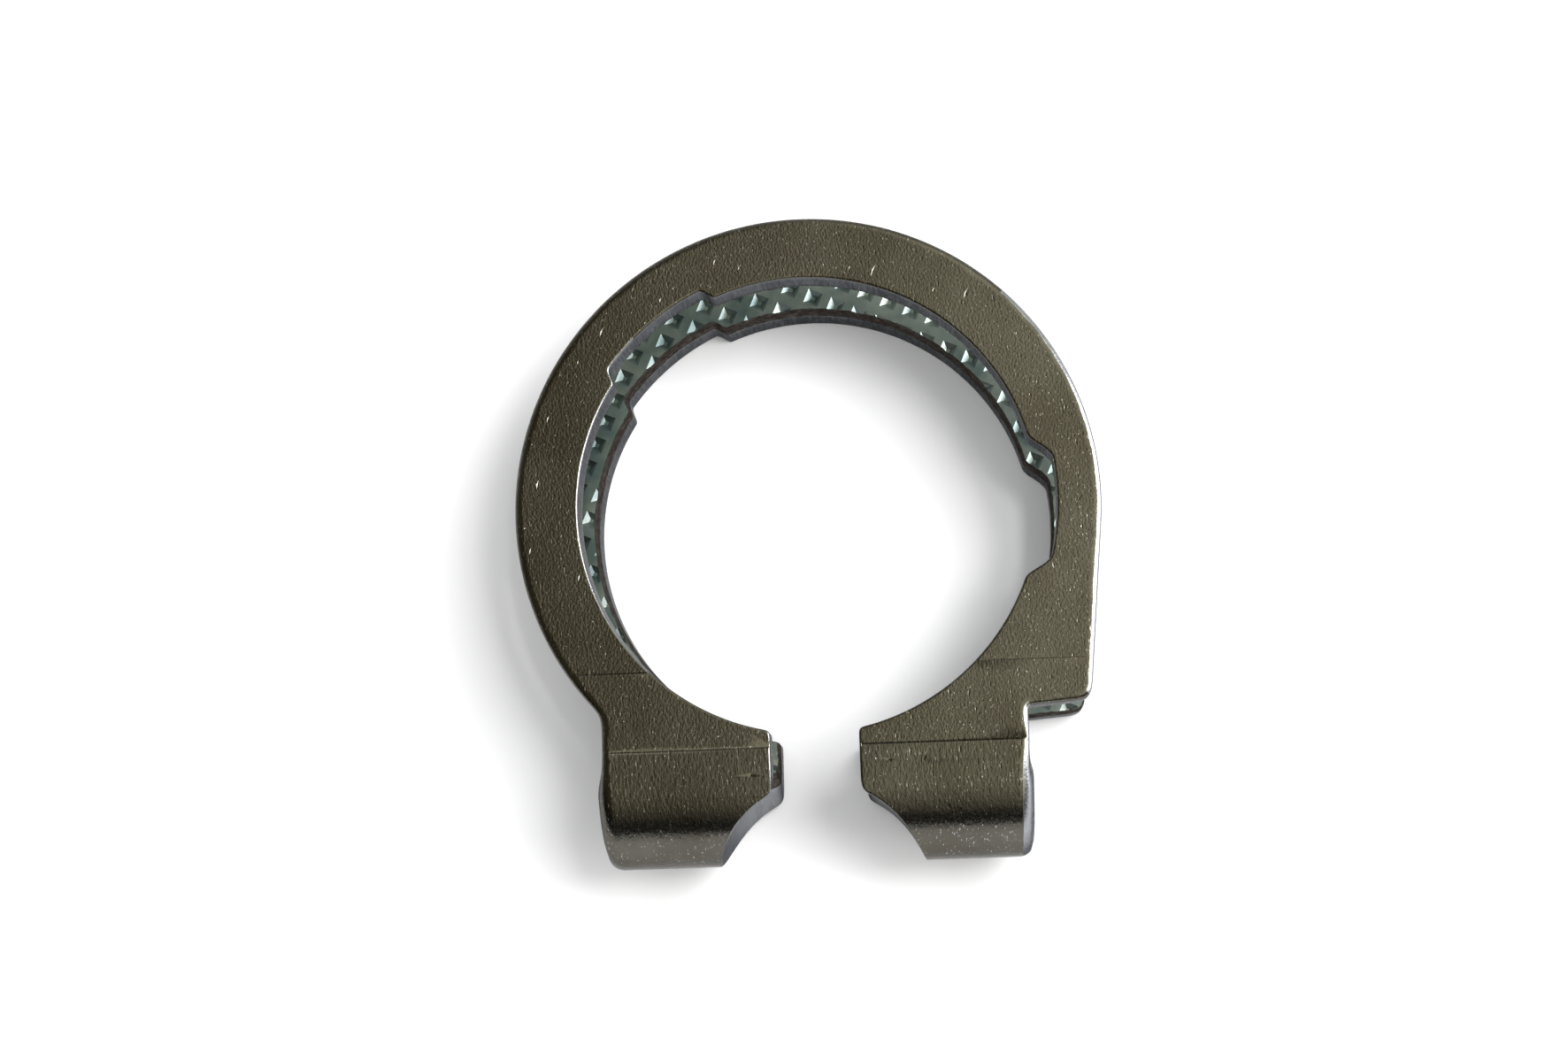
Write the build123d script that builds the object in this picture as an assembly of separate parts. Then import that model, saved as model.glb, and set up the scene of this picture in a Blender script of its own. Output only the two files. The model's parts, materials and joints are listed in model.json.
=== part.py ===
from build123d import *
import math
import os

# Split clamp body for a round tube, folded from one punched blank of thick sheet steel.
# Two open rings of sheet lie parallel and are joined by two U folds, the lugs. The clamping
# bolt lies in the folds, and pulls the lugs together. Sizes are in millimetres.
# The bore's axis is Z, with the origin on it at the rear face. The lugs point along -Y.

# The sheet and its folds
PLATE_T = 7.5          # thickness of the sheet
FOLD_R = 5.0           # inside radius of the folds, which is the bolt's channel
FOLD_BELOW_BORE = 1.2     # the folds' axis lies this far below the bottom of the bore

# The two rings
BORE_R = 25.0          # the tube's radius
RING_W = 6.9           # width of the ring at its sides
RING_DROP = 0.2        # the ring's outside is centred this far below the bore
GAP_W = 9.6            # the gap that closes when the bolt is tightened

# The recesses in the bore: middle, width and the slope at each end in degrees, and depth
RECESS_UPPER = (129.1, 34.6, 2.6, 1.4)
RECESS_SIDE = (-3.0, 37.0, 6.0, 2.1)
RECESS_BLEND = 0.9     # radius at the corners of a recess

# The lugs
LUG_W = 18.2           # width along the bolt's axis
THROAT_R = 6.4         # round notch that narrows each lug towards its fold
EAR_CORNER_R = 1.4     # corner between a lug's inner side and the notch
GAP_CORNER_R = 0.5     # corner between the bore and the gap
FOLD_CORNER_R = 1.2    # outer corner at the bottom of a fold
NECK_R = 2.0           # hollow corner between the ring and the left lug

# The shoulder beside the right lug, which stops the clamp from turning
SHOULDER_DROP = 0.5        # how far its foot lies below the ring's edge, at the lug
SHOULDER_LEAN = 5.7        # degrees that its side leans in
SHOULDER_TILT = 4.3        # degrees that its foot rises outwards
SHOULDER_CORNER_R = 1.0
SHOULDER_NECK_R = 0.8      # hollow corner between its foot and the lug

# Sizes that follow
OUTER_R = BORE_R + RING_W
FOLD_Y = -BORE_R - FOLD_BELOW_BORE
FOLD_OUT_R = FOLD_R + PLATE_T
BODY_T = 2 * FOLD_OUT_R
LUG_IN = GAP_W / 2
LUG_OUT = LUG_IN + LUG_W
LUG_BOTTOM = FOLD_Y - FOLD_OUT_R
NECK_Y = -RING_DROP - math.sqrt(OUTER_R**2 - LUG_OUT**2)      # where the ring meets the lugs
CUT_MARGIN = 5.0       # how far a cut runs past what it cuts


def corner_near(sketch, x, y):
    """The corner of the sketch that lies nearest to a point."""
    return sketch.vertices().sort_by_distance((x, y, 0))[0]


def on_bore(radius, degrees):
    """A point at a radius and a direction from the bore's axis."""
    turn = math.radians(degrees)
    return (radius * math.cos(turn), radius * math.sin(turn))


def recess(middle, width, ramp, depth):
    """A shallow recess in the bore, with a round floor and sloping ends."""
    start = middle - width / 2
    end = middle + width / 2
    floor_r = BORE_R + depth
    floor_start = on_bore(floor_r, start + ramp)
    floor_end = on_bore(floor_r, end - ramp)
    inside_r = BORE_R - CUT_MARGIN
    outline = [
        Polyline(on_bore(inside_r, start), on_bore(BORE_R, start), floor_start),
        ThreePointArc(floor_start, on_bore(floor_r, middle), floor_end),
        Polyline(floor_end, on_bore(BORE_R, end), on_bore(inside_r, end), on_bore(inside_r, start)),
    ]
    patch = make_face(outline)
    for corner in (floor_start, floor_end):
        patch = fillet(corner_near(patch, *corner), RECESS_BLEND)
    return patch


def opening():
    """What the bore, its recesses and the gap take out of each ring."""
    gap = Pos(0, LUG_BOTTOM) * Rectangle(GAP_W, -LUG_BOTTOM, align=(Align.CENTER, Align.MIN))
    sketch = Circle(BORE_R) + gap
    for middle, width, ramp, depth in (RECESS_UPPER, RECESS_SIDE):
        sketch += recess(middle, width, ramp, depth)
        for edge in (middle - width / 2, middle + width / 2):
            sketch = fillet(corner_near(sketch, *on_bore(BORE_R, edge)), RECESS_BLEND)
    gap_y = -math.sqrt(BORE_R**2 - LUG_IN**2)
    for side in (-1, 1):
        sketch = fillet(corner_near(sketch, side * LUG_IN, gap_y), GAP_CORNER_R)
    return sketch


def shoulder_points():
    """Where the shoulder's side leaves the ring, its corner, and its foot's end at the lug."""
    lean = math.radians(SHOULDER_LEAN)
    tilt = math.radians(SHOULDER_TILT)
    touch = (OUTER_R * math.cos(lean), -RING_DROP - OUTER_R * math.sin(lean))
    foot = (LUG_OUT, NECK_Y - SHOULDER_DROP)
    drop = (touch[1] - foot[1]) - (touch[0] - foot[0]) * math.tan(tilt)
    run = drop / (math.cos(lean) - math.sin(lean) * math.tan(tilt))
    corner = (touch[0] - run * math.sin(lean), touch[1] - run * math.cos(lean))
    return touch, corner, foot


def outside():
    """The outline of each ring with its lugs, without the bore."""
    ring = Pos(0, -RING_DROP) * Circle(OUTER_R)
    lugs = Pos(0, FOLD_Y) * Rectangle(2 * LUG_OUT, BORE_R, align=(Align.CENTER, Align.MIN))
    touch, corner, foot = shoulder_points()
    shoulder = make_face(Polyline((0, -RING_DROP), touch, corner, foot, close=True))
    sketch = ring + lugs + shoulder
    neck_r = min(NECK_R, NECK_Y - FOLD_Y)
    sketch = fillet(corner_near(sketch, -LUG_OUT, NECK_Y), neck_r)
    sketch = fillet(corner_near(sketch, *corner), SHOULDER_CORNER_R)
    shoulder_neck_r = min(SHOULDER_NECK_R, foot[1] - FOLD_Y)
    return fillet(corner_near(sketch, *foot), shoulder_neck_r)


def fold_outline():
    """A lug's outline below the folds' axis, seen along the bore."""
    lug_h = FOLD_Y - LUG_BOTTOM
    sketch = Pos(LUG_IN, LUG_BOTTOM) * Rectangle(LUG_W, lug_h, align=(Align.MIN, Align.MIN))
    sketch -= Pos(LUG_IN, LUG_BOTTOM) * Circle(THROAT_R)
    sketch = fillet(corner_near(sketch, LUG_IN, LUG_BOTTOM + THROAT_R), EAR_CORNER_R)
    return fillet(corner_near(sketch, LUG_OUT, LUG_BOTTOM), FOLD_CORNER_R)


def fold():
    """The U fold of the right lug."""
    turn = Circle(FOLD_OUT_R) - Circle(FOLD_R)
    turn -= Rectangle(2 * FOLD_OUT_R, FOLD_OUT_R, align=(Align.CENTER, Align.MIN))
    channel = Plane(origin=(0, FOLD_Y, FOLD_OUT_R), x_dir=(0, 0, 1), z_dir=(1, 0, 0))
    swept = extrude(channel * Rot(0, 0, 180) * turn, LUG_OUT)
    return swept & extrude(fold_outline(), BODY_T)


def clamp_body():
    """Both rings and both folds: one folded piece."""
    plate = extrude(outside() - opening(), PLATE_T)
    right_fold = fold()
    left_fold = mirror(right_fold, about=Plane.YZ)
    body = plate + Pos(0, 0, BODY_T - PLATE_T) * plate + right_fold + left_fold
    return body.clean()


os.makedirs("parts", exist_ok=True)
export_step(clamp_body(), "parts/clamp_body.step")
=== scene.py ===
import json
import math

import bmesh
import bpy
import numpy as np
from mathutils import Matrix, Vector, noise
from mathutils.geometry import delaunay_2d_cdt


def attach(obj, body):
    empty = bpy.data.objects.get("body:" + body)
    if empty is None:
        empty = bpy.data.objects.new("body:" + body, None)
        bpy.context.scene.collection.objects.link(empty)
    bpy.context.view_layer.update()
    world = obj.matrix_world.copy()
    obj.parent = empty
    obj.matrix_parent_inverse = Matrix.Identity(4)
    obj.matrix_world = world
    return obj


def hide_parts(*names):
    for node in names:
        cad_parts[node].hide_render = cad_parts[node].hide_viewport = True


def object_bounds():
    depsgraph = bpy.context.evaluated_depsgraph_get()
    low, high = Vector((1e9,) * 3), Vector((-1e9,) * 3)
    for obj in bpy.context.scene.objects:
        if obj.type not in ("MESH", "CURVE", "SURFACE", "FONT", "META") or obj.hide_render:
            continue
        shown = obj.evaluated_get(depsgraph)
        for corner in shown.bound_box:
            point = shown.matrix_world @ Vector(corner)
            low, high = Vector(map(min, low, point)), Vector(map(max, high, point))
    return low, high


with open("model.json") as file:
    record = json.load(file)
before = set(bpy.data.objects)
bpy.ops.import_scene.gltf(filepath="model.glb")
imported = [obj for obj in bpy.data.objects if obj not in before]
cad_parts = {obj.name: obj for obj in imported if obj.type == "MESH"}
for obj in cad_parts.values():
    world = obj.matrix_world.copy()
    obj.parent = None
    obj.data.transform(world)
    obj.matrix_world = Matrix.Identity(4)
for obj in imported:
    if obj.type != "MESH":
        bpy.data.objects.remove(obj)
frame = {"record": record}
cad_low, cad_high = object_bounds()

# The clamp body is one punched blank folded twice. Its mesh is made the same way: a flat outline
# (x, q) with a punched edge and a knurled inner side is filled with triangles and then folded.
# Here lengths are in millimetres. q is the place down the blank: it is y on the rings, and below
# the folds' axis it runs round the fold. w is the depth in the sheet, from its outer skin.
MM = 0.001
mounts = {m["name"]: m for m in frame["record"]["mounts"]}
BORE_R = mounts["tube_bore"]["dims"]["r_mm"]
FOLD_R = mounts["bolt_channel"]["dims"]["r_mm"]
LUG_OUT = mounts["bolt_channel"]["dims"]["length_mm"] / 2
FOLD_Y = mounts["bolt_channel"]["pos_m"][1] / MM
FOLD_OUT_R = round((cad_high.z - cad_low.z) / MM / 2, 3)
SHEET_T = FOLD_OUT_R - FOLD_R

# The rings, recesses, lugs and shoulder, as in the CAD model. The recesses' slopes are a little longer
# here, because they are smooth.
RING_W = 6.9
RING_DROP = 0.2
OUTER_R = BORE_R + RING_W
LUG_IN = 4.8
RECESS_UPPER = (129.1, 34.6, 3.2, 1.4)     # middle, width and slope in degrees, depth
RECESS_SIDE = (-3.0, 37.0, 7.5, 2.1)
SHOULDER_DROP = 0.5
SHOULDER_LEAN = math.radians(5.7)
SHOULDER_TILT = math.radians(4.3)
NECK_Y = -RING_DROP - math.sqrt(OUTER_R**2 - LUG_OUT**2)
GAP_Y = -math.sqrt(BORE_R**2 - LUG_IN**2)

# How far each corner of the outline is rounded, as the spread of an average along it
FOOT_ROUND = 0.35
SHOULDER_ROUND = 0.95
NECK_ROUND = 0.75
GAP_ROUND = 0.36
EAR_ROUND = 0.5

# The fold
NEUTRAL_R = FOLD_R + 0.4 * SHEET_T     # the fibre that keeps its length
HALF_FOLD = NEUTRAL_R * math.pi / 2    # length of blank from the folds' axis to the middle of the fold
FOLD_MIDDLE = FOLD_Y - HALF_FOLD
THROAT = ((LUG_IN, FOLD_Y - 3.4), (11.0, FOLD_Y - 5.4), (11.3, FOLD_MIDDLE))
SIDE_PULL = 0.5                        # how much the right lug's outer side is drawn in at the fold
BULGE = 0.95                           # how much the fold's inner part is squeezed out sideways
BULGE_DEPTH = 1.0                      # how deep in the sheet most of that bulge is reached
FOLD_EASE = 4.0                        # length over which the edge changes into the fold's
FOLD_STEPS = 18                        # straight steps round half a fold, which end at these places
FOLD_TURNS = [FOLD_Y - HALF_FOLD * k / FOLD_STEPS for k in range(1, FOLD_STEPS)]

# The punched edge
STEP = 0.21                            # spacing of points along the edge
ROLL_OUTSIDE = (0.78, 0.65)            # width and depth of the rounded-over edge at the outer skin
ROLL_BORE = (0.22, 0.30)
TOOTH_LENGTH = 1.6                     # the sharper stretch of that edge above the low press line
TOOTH_SHARE = 0.65                     # how much narrower it is there
TOOTH_FACES = 0.9                      # only where the edge faces +X at least this squarely
LAMP_SIDE_FACES = 0.7                       # edges that face +X, toward the lamps, at least this squarely get the burnished band's brighter material over the roll too: a painted highlight
BURNISH_END = 0.60                     # share of the sheet where the shiny band ends
JAG = 0.17                             # how uneven that end is
TEAR_INSET = 0.05                      # the torn band starts this far in
TEAR_TAPER = {True: 0.62, False: 0.20}     # and leans in this far, on the front and rear half
SEAM_TAPER = 0.41                      # or this far at the middle of the fold
TEAR_ROUGH = 0.07
SEAM_EASE = 1.5                        # length over which its roughness fades at the seam
ROLL_ROWS = 5                          # rows of points round the rolled edge and down each band
BURNISH_ROWS = 4
TEAR_ROWS = 6
SEAM_STEP = 0.9                        # spacing of points along the seam

# The knurl on the inner side
PIT_PITCH = 2.79
PIT_HALF = 0.86
PIT_FLOOR = 0.22                       # half of the small flat floor
PIT_DEPTH = 0.58
PIT_TURN = math.radians(-24.0)
PIT_AT = (-9.18, 24.79)                # the middle of one pit

# The press lines across the arms
CREASE_LOW = FOLD_Y - 0.1
CREASE_HIGH = FOLD_Y + 8.35
CREASE_HALF_W = 0.09
CREASE_DEPTH = {CREASE_LOW: 0.10, CREASE_HIGH: 0.07}
SETTLED = 0.07                         # how much lower the skin lies between them and below

# The larger handling marks on the front: x, q, length and lean in degrees
MARKS = ((8.2, 25.45, 1.5, 65), (18.2, 22.4, 1.4, 67), (-21.85, 19.9, 1.1, 67), (-24.9, -7.1, 1.1, 69),
         (11.8, -27.3, 1.7, 58), (-9.2, 27.15, 0.8, 68))

# The small dents, scattered over both sides' skin
DENT_COUNT = 260                       # with the larger marks
DENT_SHORT = (0.12, 0.3)               # the range of lengths of most of them
DENT_LONG = (0.4, 1.1)
DENT_SHORT_SHARE = 0.85
DENT_LEAN = (72, 14)                   # mean and spread in degrees
DENT_MARGIN = 1.0                      # from the edges and the press lines
DENT_GAP = 0.35                        # from one to the next

# The loose points that keep the skin's triangles small
GRID = 1.7
GRID_SHAKE = 0.35
GRID_CLEAR = 0.8                       # from the middle of a dent

# The camera, over the lugs
CAMERA_AT = (14.94, -47.0, 341.0)
CAMERA_AIM = (-2.50, -2.12, 25.0)
CAMERA_UP = (0.0323, 0.9995, 0)
CAMERA_LENS = 67.7
CAMERA_SENSOR = 36.0


def resample(points):
    """The chain of points with each straight divided evenly."""
    out = [points[0]]
    for a, b in zip(points[:-1], points[1:]):
        n = max(1, round(math.dist(a, b) / STEP))
        out += [tuple(a[i] + (b[i] - a[i]) * k / n for i in (0, 1)) for k in range(1, n + 1)]
    return np.array(out)


def soften(points, corner, spread):
    """Rounds a corner of an evenly spaced chain by averaging along it."""
    at = int(np.argmin(np.hypot(*(points - np.array(corner)).T)))
    reach = max(2, math.ceil(4 * spread / STEP))
    kernel = np.exp(-0.5 * (np.arange(-reach, reach + 1) * STEP / spread) ** 2)
    kernel /= kernel.sum()
    window = points[at - 2 * reach:at + 2 * reach + 1]
    rounded = [np.convolve(window[:, i], kernel, "valid") for i in (0, 1)]
    points[at - reach:at + reach + 1] = np.column_stack(rounded)


def arc(radii, start, end, drop=0.0):
    """Points on a round about the bore's axis, or a little below it. Angles in degrees."""
    turn = np.radians(np.linspace(start, end, len(radii)))
    return [tuple(p) for p in np.column_stack([radii * np.cos(turn), radii * np.sin(turn) - drop])]


def smooth_step(t):
    t = np.clip(t, 0, 1)
    return t * t * (3 - 2 * t)


def bore_radii(degrees):
    """The bore's radius with its two recesses."""
    radii = np.full(len(degrees), BORE_R)
    for middle, width, slope, depth in (RECESS_UPPER, RECESS_SIDE):
        off = np.abs((degrees - middle + 180) % 360 - 180)
        radii += depth * smooth_step((width / 2 - off) / slope)
    return radii


def outer_chain():
    """The blank's outside, from the right fold's middle over the crown to the left fold's middle."""
    cos, sin, tan = math.cos(SHOULDER_LEAN), math.sin(SHOULDER_LEAN), math.tan(SHOULDER_TILT)
    touch = (OUTER_R * cos, -RING_DROP - OUTER_R * sin)
    foot = (LUG_OUT, NECK_Y - SHOULDER_DROP)
    run = (touch[1] - foot[1] - (touch[0] - foot[0]) * tan) / (cos - sin * tan)
    corner = (touch[0] - run * sin, touch[1] - run * cos)
    down = np.linspace(1, 0, 30)
    side = [(LUG_OUT - SIDE_PULL * float(smooth_step(s * 4)), FOLD_Y - HALF_FOLD * s) for s in down]
    neck = 180 + math.degrees(math.atan2(-RING_DROP - NECK_Y, LUG_OUT))
    count = round(math.radians(neck) * OUTER_R / STEP)
    ring = arc(np.full(count, OUTER_R), -math.degrees(SHOULDER_LEAN), neck, RING_DROP)
    left = [(-LUG_OUT, q) for x, q in reversed(side)]
    points = resample(side + [foot, corner] + ring + left)
    soften(points, foot, FOOT_ROUND)
    soften(points, corner, SHOULDER_ROUND)
    soften(points, (-LUG_OUT, NECK_Y), NECK_ROUND)
    return points


def inner_chain():
    """The blank's inside, from the left fold's middle round the bore to the right fold's middle."""
    t = np.linspace(0, 1, 60)[:, None]
    a, b, c = (np.array(p) for p in THROAT)
    throat = [tuple(p) for p in (1 - t) ** 2 * a + 2 * t * (1 - t) * b + t * t * c]
    gap = math.degrees(math.asin(LUG_IN / BORE_R))
    degrees = np.linspace(270 - gap, -90 + gap, round(math.radians(360 - 2 * gap) * BORE_R / STEP))
    bore = arc(bore_radii(degrees), degrees[0], degrees[-1])
    left = [(-x, q) for x, q in reversed(throat)]
    points = resample(left + bore + throat)
    for side in (-1, 1):
        soften(points, (side * LUG_IN, GAP_Y), GAP_ROUND)
        soften(points, (side * LUG_IN, THROAT[0][1]), EAR_ROUND)
    return points


def outward(points):
    """The directions out of the sheet along a chain, square to the seam at its ends."""
    along = np.gradient(points, axis=0)
    normal = np.column_stack([along[:, 1], -along[:, 0]])
    normal /= np.linalg.norm(normal, axis=1)[:, None]
    for end in (0, -1):
        normal[end] = (math.copysign(1, normal[end][0]), 0)
    return normal


def rough(x, y, z, size, seed):
    """Smooth noise from -1 to 1 at each place, with features of about the given size."""
    shift = Vector((seed * 7.3, seed * 3.1, seed * 5.7))
    flat = zip(np.ravel(x), np.ravel(y), np.ravel(z))
    values = [noise.noise(Vector(p) / size + shift) for p in flat]
    return np.array(values).reshape(np.shape(x))


def folded(x, q, w, front):
    """Where a place in the flat blank lies on the folded body."""
    turn = np.maximum(FOLD_Y - q, 0) / NEUTRAL_R
    radius = FOLD_OUT_R - w
    y = np.where(q > FOLD_Y, q, FOLD_Y - radius * np.sin(turn))
    z = FOLD_OUT_R + radius * np.cos(turn)
    return np.stack([x, y, z if front else 2 * FOLD_OUT_R - z], -1)


def knurl(q, front):
    """The front half's place on the knurl, which runs on through the fold."""
    return 2 * FOLD_MIDDLE - q if front else q


def pit_depth(x, q, front):
    """How deep the knurl is at a place on the inner side."""
    cos, sin = math.cos(PIT_TURN), math.sin(PIT_TURN)
    dx, dq = x - PIT_AT[0], knurl(q, front) - PIT_AT[1]
    u, v = (dx * cos + dq * sin) / PIT_PITCH, (dq * cos - dx * sin) / PIT_PITCH
    off = np.maximum(abs(u - np.round(u)), abs(v - np.round(v))) * PIT_PITCH
    return PIT_DEPTH * np.clip((PIT_HALF - off) / (PIT_HALF - PIT_FLOOR), 0, 1)


def pit_lines(front):
    """The sides and the valleys of the pits near the blank, as lines to keep in the mesh."""
    cos, sin = math.cos(PIT_TURN), math.sin(PIT_TURN)
    reach = math.ceil(2.2 * (OUTER_R - FOLD_MIDDLE) / PIT_PITCH)
    points, lines = [], []
    for i in range(-reach, reach + 1):
        for j in range(-reach, reach + 1):
            corners = [(i * PIT_PITCH + a * half, j * PIT_PITCH + b * half)
                       for half in (PIT_HALF, PIT_FLOOR) for a, b in ((-1, -1), (1, -1), (1, 1), (-1, 1))]
            placed = [(PIT_AT[0] + u * cos - v * sin, knurl(PIT_AT[1] + u * sin + v * cos, front))
                      for u, v in corners]
            x, q = placed[0]
            ring = math.hypot(x, q)
            on_ring = BORE_R - 2 < ring < OUTER_R + 3
            on_lug = abs(x) < LUG_OUT + 2 and FOLD_MIDDLE + PIT_HALF * 1.5 < q < FOLD_Y + 6
            on_shoulder = x > LUG_OUT - 2 and NECK_Y - 2 < q < 0 and ring > OUTER_R
            if q > FOLD_MIDDLE + PIT_HALF * 1.5 and (on_ring or on_lug or on_shoulder):
                n = len(points)
                points += placed
                lines += [(n + k, n + (k + 1) % 4) for k in range(4)]
                lines += [(n + 4 + k, n + 4 + (k + 1) % 4) for k in range(4)]
                lines += [(n + k, n + 4 + k) for k in range(4)]
    return points, lines


def cross_lines(places):
    """Straight lines across the blank at the given places."""
    points, lines = [], []
    for q in places:
        lines.append((len(points), len(points) + 1))
        points += [(-40.0, q), (40.0, q)]
    return points, lines


def inside(outline, places):
    """Which places lie inside an outline: a ray from each crosses it an odd number of times."""
    ax, ay = outline.T
    bx, by = np.roll(outline, -1, axis=0).T
    x, y = places[:, :1], places[:, 1:]
    spans = (ay > y) != (by > y)
    slope = np.where(by == ay, 0, (bx - ax) / np.where(by == ay, 1, by - ay))
    return (spans & (x < ax + (y - ay) * slope)).sum(axis=1) % 2 == 1


def fill(outline, points, lines):
    """Triangles inside an outline that keep the given lines. Places on the outline keep their
    numbers, and added gives the new places that fall on the outline's edges."""
    n = len(outline)
    every = [Vector(p) for p in [*map(tuple, outline), *points]]
    edges = [(i, (i + 1) % n) for i in range(n)] + [(a + n, b + n) for a, b in lines]
    places, _, faces, sources, *_ = delaunay_2d_cdt(every, edges, [], 0, 1e-6)
    middles = np.array([sum((places[i] for i in f), Vector((0, 0))) / 3 for f in faces])
    kept = [f for chunk in range(0, len(faces), 4000)
            for f, within in zip(faces[chunk:chunk + 4000], inside(outline, middles[chunk:chunk + 4000]))
            if within]
    number = {i: min(source) for i, source in enumerate(sources) if source and min(source) < n}
    new = []
    for f in kept:
        for i in f:
            if i not in number:
                number[i] = n + len(new)
                new.append(tuple(places[i]))
    triangles = [[number[i] for i in f] for f in kept]
    used = {(t[k], t[k - 2]) for t in triangles for k in range(3)}
    follows = {a: b for a, b in used if (b, a) not in used}
    added = {}
    for i in range(n):
        at = follows[i]
        while at >= n:
            added.setdefault(i, []).append(at)
            at = follows[at]
    return np.array(new).reshape(-1, 2), triangles, added


def skin_sink(x, q):
    """How far the outer skin lies below its nominal plane: slow waves and the press lines."""
    waves = 0.018 * (2 + np.sin(x / 5.1 + 1.3) + np.sin(q / 6.7 + x / 11.0))
    settled = SETTLED * smooth_step((CREASE_HIGH - q) / (CREASE_HIGH - CREASE_LOW))
    on_line = sum(deep * np.clip(1 - abs(q - at) / CREASE_HALF_W, 0, 1) for at, deep in CREASE_DEPTH.items())
    return waves + settled + on_line


def tightness(points, normal):
    """The radius of the outline's outward bends, kept large where it is straight or hollow."""
    turn = np.cross(normal[:-1], normal[1:])
    turn = np.convolve(np.append(turn, 0), np.ones(3) / 3, "same")
    return STEP / np.clip(turn, 0.01, None)


def edge_rows(points, normal, roll, bulge, front):
    """The punched edge, row by row from the outer skin to the inner side: (x, q, w) and the band."""
    x, q = points.T
    place = folded(x, q, np.zeros(len(x)), front).T
    roll_w, roll_depth = roll
    roll_w = roll_w * (1 + 0.22 * rough(*place, 2.2, 1) + 0.10 * rough(*place, 0.5, 4))
    on_tooth = (q > CREASE_LOW) & (normal[:, 0] > TOOTH_FACES)
    tooth = np.clip(1 - (q - CREASE_LOW) / TOOTH_LENGTH, 0, 1) * on_tooth
    most = 0.6 * tightness(points, normal)
    roll_w = np.minimum(roll_w * (1 - TOOTH_SHARE * tooth), most)
    fold = smooth_step((FOLD_Y - q) / FOLD_EASE)
    burnish = SHEET_T * BURNISH_END + JAG * rough(*place, 1.3, 2) + 0.5 * JAG * rough(*place, 0.4, 3)
    seam = smooth_step((q - FOLD_MIDDLE) / SEAM_EASE)
    taper = SEAM_TAPER + (TEAR_TAPER[front] - SEAM_TAPER) * smooth_step((q - FOLD_MIDDLE) / FOLD_EASE)
    taper = np.minimum(taper, most)
    rows = [(-roll_w * 1.2, np.zeros(len(x)), 0)]
    for k in range(ROLL_ROWS):
        turn = k * math.pi / 2 / (ROLL_ROWS - 1)
        rows.append((roll_w * (math.sin(turn) - 1), np.full(len(x), roll_depth * (1 - math.cos(turn))), 0))
    for k in range(1, BURNISH_ROWS + 1):
        rows.append((np.zeros(len(x)), roll_depth + (burnish - roll_depth) * k / BURNISH_ROWS, 1))
    for k in range(1, TEAR_ROWS + 1):
        share = k / TEAR_ROWS
        depth = burnish + (SHEET_T - burnish) * share
        torn = rough(*place, 0.55, 10 + k) + 0.7 * rough(*place, 0.25, 20 + k)
        out = -TEAR_INSET - taper * share**0.7 + TEAR_ROUGH * torn * seam
        rows.append((out, depth, 2))
    made = []
    for out, depth, band in rows:
        out = out + bulge * fold * (1 - np.exp(-depth / BULGE_DEPTH))
        rx, rq = x + normal[:, 0] * out, q + normal[:, 1] * out
        sink = skin_sink(rx, rq) * np.clip(1 - depth / SHEET_T, 0, 1)
        made.append((rx, rq, depth + sink, band))
    return made


def dents(front):
    """Dents from handling: each has four corners and a deeper middle. Gives the points, how far each
    is sunk, and the lines between them."""
    rng = np.random.default_rng(11 if front else 12)
    made = [(x, q, long, math.radians(lean)) for x, q, long, lean in MARKS] if front else []
    while len(made) < DENT_COUNT:
        turn = rng.uniform(0, 2 * math.pi)
        radius = rng.uniform(BORE_R + DENT_MARGIN, OUTER_R - DENT_MARGIN)
        x, q = radius * math.cos(turn), radius * math.sin(turn)
        long = rng.uniform(*(DENT_SHORT if rng.random() < DENT_SHORT_SHARE else DENT_LONG))
        lean = math.radians(rng.normal(*DENT_LEAN))
        clear = all(math.hypot(x - a, q - b) > long + c + DENT_GAP for a, b, c, _ in made)
        on_steel = not (abs(x) < LUG_IN + 1.5 and q < 0)
        off_lines = min(abs(q - CREASE_HIGH), abs(q - CREASE_LOW)) > DENT_MARGIN
        if clear and on_steel and off_lines:
            made.append((x, q, long, lean))
    points, sinks, lines = [], [], []
    for x, q, long, lean in made:
        wide = 0.07 + 0.06 * long
        n = len(points)
        for u, v in ((-1, 0), (0, -1), (1, 0), (0, 1), (0, 0)):
            du, dv = u * long / 2, v * wide
            points.append((x + du * math.cos(lean) - dv * math.sin(lean),
                           q + du * math.sin(lean) + dv * math.cos(lean)))
            sinks.append(0.0 if (u, v) != (0, 0) else wide * 0.7)
        lines += [(n + k, n + (k + 1) % 4) for k in range(4)] + [(n + k, n + 4) for k in range(4)]
    return points, sinks, lines


def skin_layout(front):
    """The points and lines that the outer skin's mesh keeps, and the skin's depth at any place."""
    creases = [at + s * CREASE_HALF_W for at in (CREASE_LOW, CREASE_HIGH) for s in (-1, 0, 1)]
    points, lines = cross_lines(FOLD_TURNS + creases)
    dent_points, dent_sinks, dent_lines = dents(front)
    grid = [(gx + GRID_SHAKE * math.sin(gy * 3.1), gy + GRID_SHAKE * math.sin(gx * 2.3))
            for gx in np.arange(-OUTER_R, OUTER_R, GRID) for gy in np.arange(FOLD_Y, OUTER_R, GRID)]
    middles = dent_points[4::5]
    lines += [(a + len(points), b + len(points)) for a, b in dent_lines]
    points += dent_points
    points += [p for p in grid if all(math.dist(p, m) > GRID_CLEAR for m in middles)]
    sunk = {tuple(round(v, 4) for v in p): sink for p, sink in zip(dent_points, dent_sinks) if sink}

    def depth(x, q):
        dent = np.array([sunk.get((round(a, 4), round(b, 4)), 0.0) for a, b in zip(x, q)])
        return skin_sink(x, q) + dent

    return points, lines, depth


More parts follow.
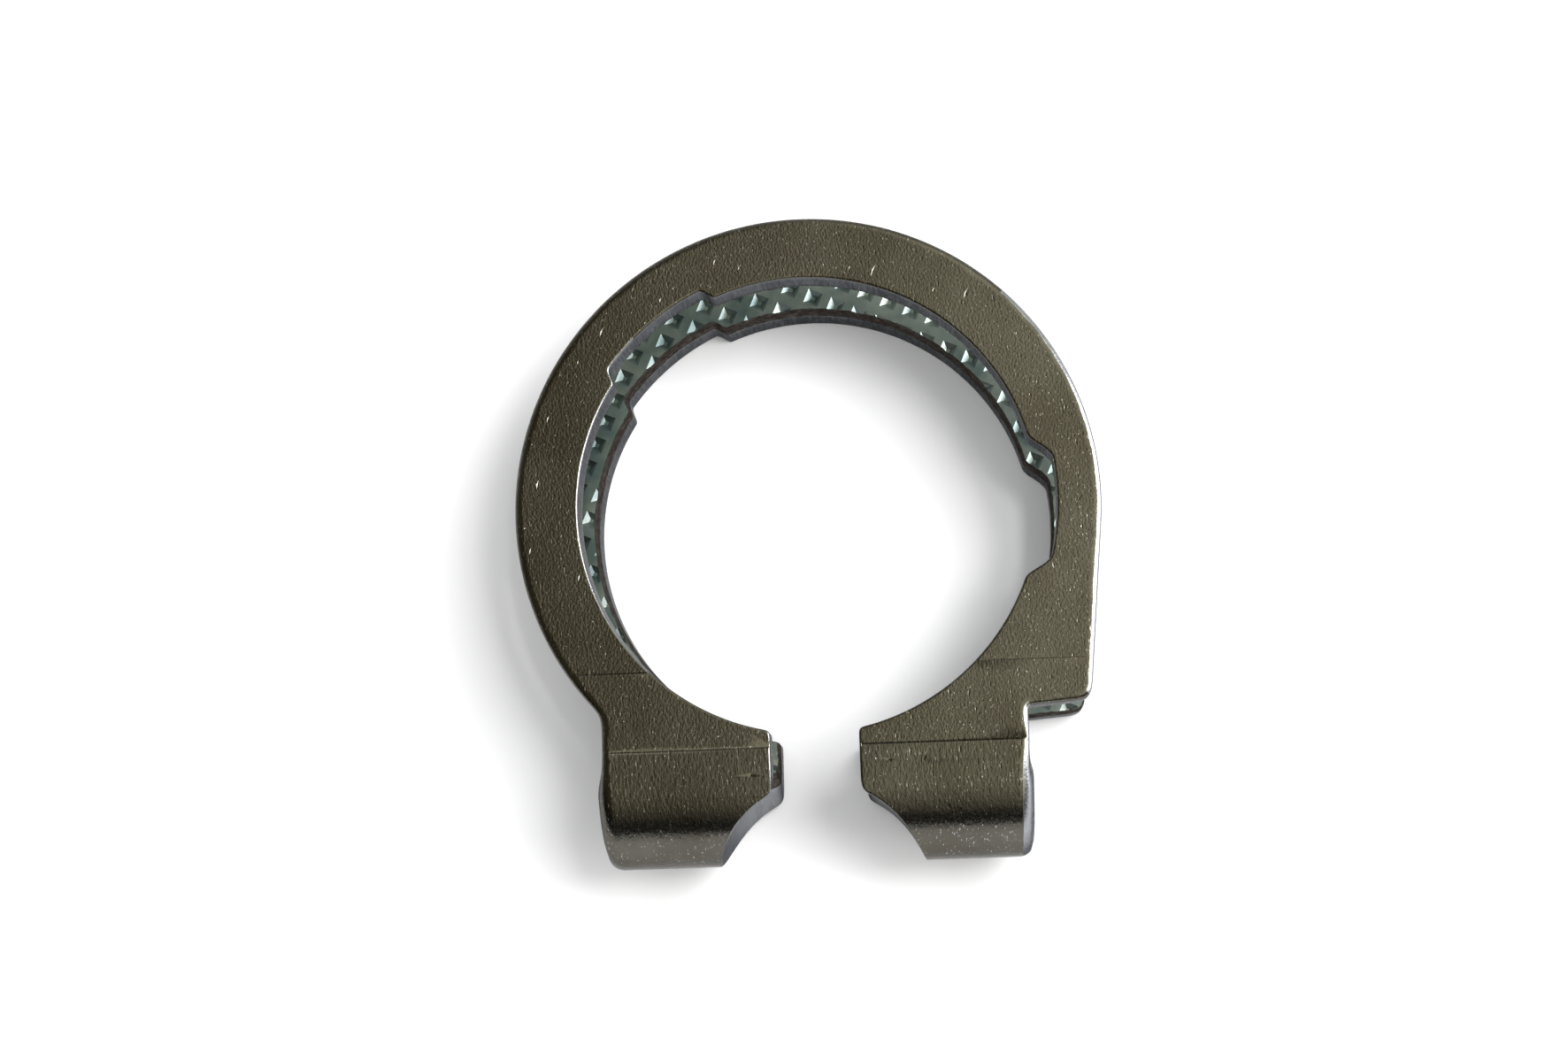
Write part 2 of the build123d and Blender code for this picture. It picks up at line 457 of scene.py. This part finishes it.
def half_body(front):
    """The front or rear half, to the middle of the folds: places, where they lie on the flat blank,
    faces and each face's band."""
    outer, inner = outer_chain(), inner_chain()
    n_outer, n_inner = len(outer), len(inner)
    edges = [edge_rows(outer, outward(outer), ROLL_OUTSIDE, BULGE, front),
             edge_rows(inner, outward(inner), ROLL_BORE, 0.0, front)]
    last = len(edges[0]) - 1
    places, blank, faces, bands = [], [], [], []

    def put(x, q, w):
        start = sum(len(p) for p in places)
        places.append(folded(x, q, w, front))
        blank.append(np.stack([x, knurl(q, front), w], -1))
        return list(range(start, start + len(x)))

    rows = []
    for r in range(last + 1):
        ids = []
        for edge in edges:
            x, q, w, band = edge[r]
            if r == last:
                w = SHEET_T - pit_depth(x, q, front)
            ids.append(put(x, q, w))
        rows.append((ids, edges[0][r][3]))

    def side(r, points, lines, depth_at, band):
        """Fills the skin or the inner side between its edge row and the seams."""
        (outer_ids, inner_ids), _ = rows[r]
        flat = [np.column_stack(edge[r][:2]) for edge in edges]
        seams = []
        for a, b in ((flat[0][-1], flat[1][0]), (flat[1][-1], flat[0][0])):
            n = round(abs(b[0] - a[0]) / SEAM_STEP)
            seams.append(np.column_stack([np.linspace(a[0], b[0], n + 1)[1:-1], np.full(n - 1, FOLD_MIDDLE)]))
        seam_ids = [put(s[:, 0], s[:, 1], depth_at(s[:, 0], s[:, 1])) for s in seams]
        outline = np.vstack([flat[0], seams[0], flat[1], seams[1]])
        ids = outer_ids + seam_ids[0] + inner_ids + seam_ids[1]
        new, triangles, added = fill(outline, points, lines)
        ids = ids + put(new[:, 0], new[:, 1], depth_at(new[:, 0], new[:, 1]))
        for t in triangles:
            faces.append([ids[i] for i in t])
            bands.append(band)
        offset = n_outer + len(seams[0])
        return [{i: [ids[k] for k in added.get(i, [])] for i in range(n_outer)},
                {i: [ids[k] for k in added.get(i + offset, [])] for i in range(n_inner)}]

    skin_extra = side(0, *skin_layout(front), 0)
    pit_points, lines = pit_lines(front)
    turn_points, turn_lines = cross_lines(FOLD_TURNS)
    lines += [(a + len(pit_points), b + len(pit_points)) for a, b in turn_lines]
    knurl_extra = side(last, pit_points + turn_points, lines,
                       lambda x, q: SHEET_T - pit_depth(x, q, front), 3)
    # Rolled-edge faces that face +X, toward the lamps, take the burnished band's brighter material: a painted
    # highlight on the lit side.
    lamp_side_roll = [outward(c)[:, 0] > LAMP_SIDE_FACES for c in (outer, inner)]
    for r in range(last):
        for chain in (0, 1):
            a, b = rows[r][0][chain], rows[r + 1][0][chain]
            for i in range(len(a) - 1):
                face = [a[i], b[i]]
                face += knurl_extra[chain][i] if r == last - 1 else []
                face += [b[i + 1], a[i + 1]]
                face += reversed(skin_extra[chain][i]) if r == 0 else []
                faces.append(face)
                bands.append(1 if 1 < r <= ROLL_ROWS and lamp_side_roll[chain][i] else rows[r + 1][1])
    if not front:
        faces = [f[::-1] for f in faces]
    return np.vstack(places), np.vstack(blank), faces, bands


def clamp_mesh():
    """Both halves, joined at the middle of the folds."""
    front_places, front_blank, front_faces, front_bands = half_body(True)
    rear_places, rear_blank, rear_faces, rear_bands = half_body(False)
    count = len(front_places)
    faces = front_faces + [[i + count for i in f] for f in rear_faces]
    mesh = bpy.data.meshes.new("clamp_body_steel")
    mesh.from_pydata((np.vstack([front_places, rear_places]) * MM).tolist(), [], faces)
    mesh.polygons.foreach_set("material_index", front_bands + rear_bands)
    flat = mesh.attributes.new("blank", "FLOAT_VECTOR", "POINT")
    flat.data.foreach_set("vector", np.vstack([front_blank, rear_blank]).astype(np.float32).ravel())
    work = bmesh.new()
    work.from_mesh(mesh)
    seam = [v for v in work.verts if v.co.y < (FOLD_Y - FOLD_R) * MM + 1e-6
            and abs(v.co.z - FOLD_OUT_R * MM) < 1e-6]
    bmesh.ops.remove_doubles(work, verts=seam, dist=2e-6)
    bmesh.ops.recalc_face_normals(work, faces=work.faces)
    work.to_mesh(mesh)
    work.free()
    mesh.polygons.foreach_set("use_smooth", [True] * len(mesh.polygons))
    mesh.set_sharp_from_angle(angle=math.radians(32))
    return mesh


def add(tree, kind, inputs=None, **settings):
    """A new node with its settings, its values and its links."""
    made = tree.nodes.new(kind)
    for name, value in settings.items():
        setattr(made, name, value)
    for name, value in (inputs or {}).items():
        if isinstance(value, bpy.types.NodeSocket):
            tree.links.new(value, made.inputs[name])
        else:
            made.inputs[name].default_value = value
    return made


def blank_place(tree, stretch=(1, 1, 1), turn=0.0):
    """Texture coordinates in millimetres on the flat blank, stretched and turned."""
    place = add(tree, "ShaderNodeAttribute", attribute_name="blank").outputs["Vector"]
    turned = {"Vector": place, "Rotation": (0, 0, turn), "Scale": stretch}
    return add(tree, "ShaderNodeMapping", turned).outputs[0]


def speckle(tree, place, scale, detail=2.0, harsh=0.6):
    """Noise from 0 to 1."""
    return add(tree, "ShaderNodeTexNoise",
               {"Vector": place, "Scale": scale, "Detail": detail, "Roughness": harsh}).outputs["Fac"]


def between(tree, value, low, high, to_low=0.0, to_high=1.0):
    """A value spread from one range to another."""
    ends = {"From Min": low, "From Max": high, "To Min": to_low, "To Max": to_high}
    return add(tree, "ShaderNodeMapRange", {"Value": value, **ends}).outputs[0]


def maths(tree, operation, a, b):
    return add(tree, "ShaderNodeMath", {0: a, 1: b}, operation=operation).outputs[0]


def blend_colours(tree, factor, a, b):
    return add(tree, "ShaderNodeMix", {0: factor, 6: a, 7: b}, data_type="RGBA").outputs[2]


def bump(tree, height, strength, below=None):
    """A bump whose height is in millimetres."""
    inputs = {"Height": height, "Strength": strength, "Distance": MM}
    if below:
        inputs["Normal"] = below
    return add(tree, "ShaderNodeBump", inputs).outputs[0]


def steel(name, colour, roughness, normal, grazing=1.0):
    """A metal whose parts are made by functions of its node tree. grazing dims its flattest glances."""
    material = bpy.data.materials.new(name)
    material.use_nodes = True
    tree = material.node_tree
    shader = tree.nodes["Principled BSDF"]
    shader.inputs["Metallic"].default_value = 1.0
    shader.inputs["Specular Tint"].default_value = (grazing, grazing, grazing, 1)
    tree.links.new(colour(tree), shader.inputs["Base Color"])
    tree.links.new(roughness(tree), shader.inputs["Roughness"])
    tree.links.new(normal(tree), shader.inputs["Normal"])
    return material


def nicks(tree, scale, share, turn):
    """Scattered tiny nicks, as depths in millimetres: lengthened cells, few of them struck."""
    place = blank_place(tree, (1, 0.42, 1), turn)
    cells = add(tree, "ShaderNodeTexVoronoi", {"Vector": place, "Scale": scale, "Randomness": 1.0})
    struck = between(tree, add(tree, "ShaderNodeSeparateColor", {0: cells.outputs["Color"]}).outputs[0],
                     1 - share, 1 - share + 0.01)
    pit = between(tree, cells.outputs["Distance"], 0.0, 0.34, 0.05, 0.0)
    return maths(tree, "MULTIPLY", struck, pit)


def plated_skin():
    """The outer skin: dull zinc over rolled steel, with a fine grain, handling marks and bright specks
    painted into its colour as glints.
    """
    def grain(tree):
        return speckle(tree, blank_place(tree, (1, 0.6, 1), 0.35), 4.2, 2, 0.5)

    def glint_speckle(tree):
        return speckle(tree, blank_place(tree, (1, 0.45, 1), 0.35), 6.0, 3, 0.7)

    def colour(tree):
        tone = between(tree, speckle(tree, blank_place(tree), 0.09, 3), 0.35, 0.65)
        broad = blend_colours(tree, tone, (0.098, 0.091, 0.076, 1), (0.13, 0.124, 0.107, 1))
        # Scattered near-white specks in the base colour stand in for glints of tiny facets: painted glints.
        glint_share = between(tree, glint_speckle(tree), 0.635, 0.70)
        return blend_colours(tree, glint_share, broad, (0.62, 0.63, 0.64, 1))

    def roughness(tree):
        return between(tree, speckle(tree, blank_place(tree), 5.0, 3, 0.7), 0.3, 0.7, 0.15, 0.27)

    def normal(tree):
        low = bump(tree, between(tree, grain(tree), 0.0, 1.0, 0.0, 0.035), 1.0)
        fine = maths(tree, "SUBTRACT", 0.0, nicks(tree, 2.6, 0.10, 0.35))
        return bump(tree, fine, 1.0, low)

    return steel("plated_skin", colour, roughness, normal, grazing=0.5)


def burnished_edge():
    """The shiny band of the punched edge, with fine drag lines through the sheet."""
    def colour(tree):
        tone = between(tree, speckle(tree, blank_place(tree, (1, 1, 0.4)), 0.35, 3), 0.35, 0.65)
        return blend_colours(tree, tone, (0.28, 0.29, 0.31, 1), (0.36, 0.37, 0.39, 1))

    def roughness(tree):
        lines = speckle(tree, blank_place(tree, (1, 1, 0.06)), 3.5, 3)
        return between(tree, lines, 0.3, 0.7, 0.20, 0.34)

    def normal(tree):
        lines = speckle(tree, blank_place(tree, (1, 1, 0.05)), 4.5, 3)
        return bump(tree, between(tree, lines, 0.0, 1.0, 0.0, 0.02), 1.0)

    return steel("burnished_edge", colour, roughness, normal, grazing=0.16)


def torn_edge():
    """The torn band of the punched edge: dull, coarse and darker."""
    def colour(tree):
        tone = between(tree, speckle(tree, blank_place(tree), 1.3, 4, 0.7), 0.42, 0.66)
        return blend_colours(tree, tone, (0.075, 0.064, 0.058, 1), (0.150, 0.138, 0.128, 1))

    def roughness(tree):
        return between(tree, speckle(tree, blank_place(tree), 4.0, 3), 0.3, 0.7, 0.34, 0.55)

    def normal(tree):
        coarse = speckle(tree, blank_place(tree, (1, 1, 0.8)), 2.6, 4, 0.75)
        return bump(tree, between(tree, coarse, 0.0, 1.0, 0.0, 0.13), 1.0)

    return steel("torn_edge", colour, roughness, normal, grazing=0.2)


def knurled_side():
    """The inner side: brighter, bluish zinc between the pits."""
    def colour(tree):
        tone = between(tree, speckle(tree, blank_place(tree), 0.16, 3), 0.38, 0.62)
        return blend_colours(tree, tone, (0.16, 0.215, 0.22, 1), (0.33, 0.375, 0.36, 1))

    def roughness(tree):
        return between(tree, speckle(tree, blank_place(tree), 3.0, 3), 0.3, 0.7, 0.34, 0.44)

    def normal(tree):
        grain = speckle(tree, blank_place(tree), 1.6, 3, 0.6)
        return bump(tree, between(tree, grain, 0.0, 1.0, 0.0, 0.008), 1.0)

    return steel("knurled_side", colour, roughness, normal)


def clamp_piece():
    """The finished clamp body."""
    piece = bpy.data.objects.new("clamp_body_folded", clamp_mesh())
    bpy.context.scene.collection.objects.link(piece)
    for material in (plated_skin(), burnished_edge(), torn_edge(), knurled_side()):
        piece.data.materials.append(material)
    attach(piece, "root")
    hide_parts("clamp_body")
    return piece


def floor():
    """A wide pale table under the clamp."""
    mesh = bpy.data.meshes.new("table")
    reach = 4.0
    corners = [(-reach, -reach, 0), (reach, -reach, 0), (reach, reach, 0), (-reach, reach, 0)]
    mesh.from_pydata(corners, [], [(0, 1, 2, 3)])
    table = bpy.data.objects.new("table", mesh)
    bpy.context.scene.collection.objects.link(table)
    material = bpy.data.materials.new("table_white")
    material.use_nodes = True
    shader = material.node_tree.nodes["Principled BSDF"]
    shader.inputs["Base Color"].default_value = (0.93, 0.93, 0.93, 1)
    shader.inputs["Roughness"].default_value = 0.9
    shader.inputs["Specular IOR Level"].default_value = 0.1
    mesh.materials.append(material)


def lamp(name, azimuth, elevation, distance, size, power, colour, in_gloss=True, on_table=True):
    """A square soft light aimed at the clamp. Angles in degrees, azimuth from +X."""
    light = bpy.data.lights.new(name, "AREA")
    light.shape = "SQUARE"
    light.size = size
    light.energy = power
    light.color = colour
    turn, rise = math.radians(azimuth), math.radians(elevation)
    way = Vector((math.cos(turn) * math.cos(rise), math.sin(turn) * math.cos(rise), math.sin(rise)))
    holder = bpy.data.objects.new(name, light)
    bpy.context.scene.collection.objects.link(holder)
    holder.location = way * distance
    holder.rotation_mode = "QUATERNION"
    holder.rotation_quaternion = way.to_track_quat("Z", "Y")
    holder.visible_glossy = in_gloss
    holder.visible_diffuse = on_table


def surroundings():
    """Even light on the table, a darker, warm room in the metal's reflections, and a pale backdrop."""
    world = bpy.data.worlds.new("studio")
    bpy.context.scene.world = world
    world.use_nodes = True
    world.cycles.sampling_method = "NONE"     # so that reflections see only their own room
    tree = world.node_tree
    ground = tree.nodes["Background"]
    way = add(tree, "ShaderNodeTexCoord").outputs["Generated"]
    x, y, z = (add(tree, "ShaderNodeSeparateXYZ", {0: way}).outputs[i] for i in range(3))
    across = between(tree, x, -0.19, 0.15)
    overhead = blend_colours(tree, across, (0.13, 0.115, 0.07, 1), (1.50, 1.45, 1.15, 1))
    near = blend_colours(tree, between(tree, y, -0.5, 0.6), (0.008, 0.008, 0.010, 1), (0.50, 0.52, 0.51, 1))
    room = blend_colours(tree, between(tree, z, 0.22, 0.72), near, overhead)
    table_light = blend_colours(tree, between(tree, z, 0.45, 0.95), (0.2, 0.2, 0.204, 1), (1.3, 1.3, 1.3, 1))
    path = add(tree, "ShaderNodeLightPath")
    light = blend_colours(tree, path.outputs["Is Glossy Ray"], table_light, room)
    tree.links.new(blend_colours(tree, path.outputs["Is Camera Ray"], light, (0.82, 0.82, 0.83, 1)),
                   ground.inputs["Color"])


def camera():
    """Looks down on the clamp from over its lugs."""
    data = bpy.data.cameras.new("camera")
    data.lens = CAMERA_LENS
    data.sensor_width = CAMERA_SENSOR
    holder = bpy.data.objects.new("camera", data)
    bpy.context.scene.collection.objects.link(holder)
    place = Vector(CAMERA_AT) * MM
    ahead = (Vector(CAMERA_AIM) * MM - place).normalized()
    right = ahead.cross(Vector(CAMERA_UP)).normalized()
    up = right.cross(ahead)
    turn = Matrix((right, up, -ahead)).transposed()
    holder.matrix_world = Matrix.Translation(place) @ turn.to_4x4()
    data.clip_start = 0.01
    bpy.context.scene.camera = holder


clamp_piece()
floor()
surroundings()
lamp("softbox", -12, 40, 0.5, 0.22, 0.55, (1.0, 0.985, 0.96))
lamp("window", 18, 67, 0.7, 0.26, 3.5, (1.0, 1.0, 1.0), in_gloss=False)
lamp("bright_wall", 5, 20, 0.6, 0.44, 6.0, (1.0, 1.0, 1.0), on_table=False)
camera()
bpy.context.scene.view_settings.view_transform = "Standard"
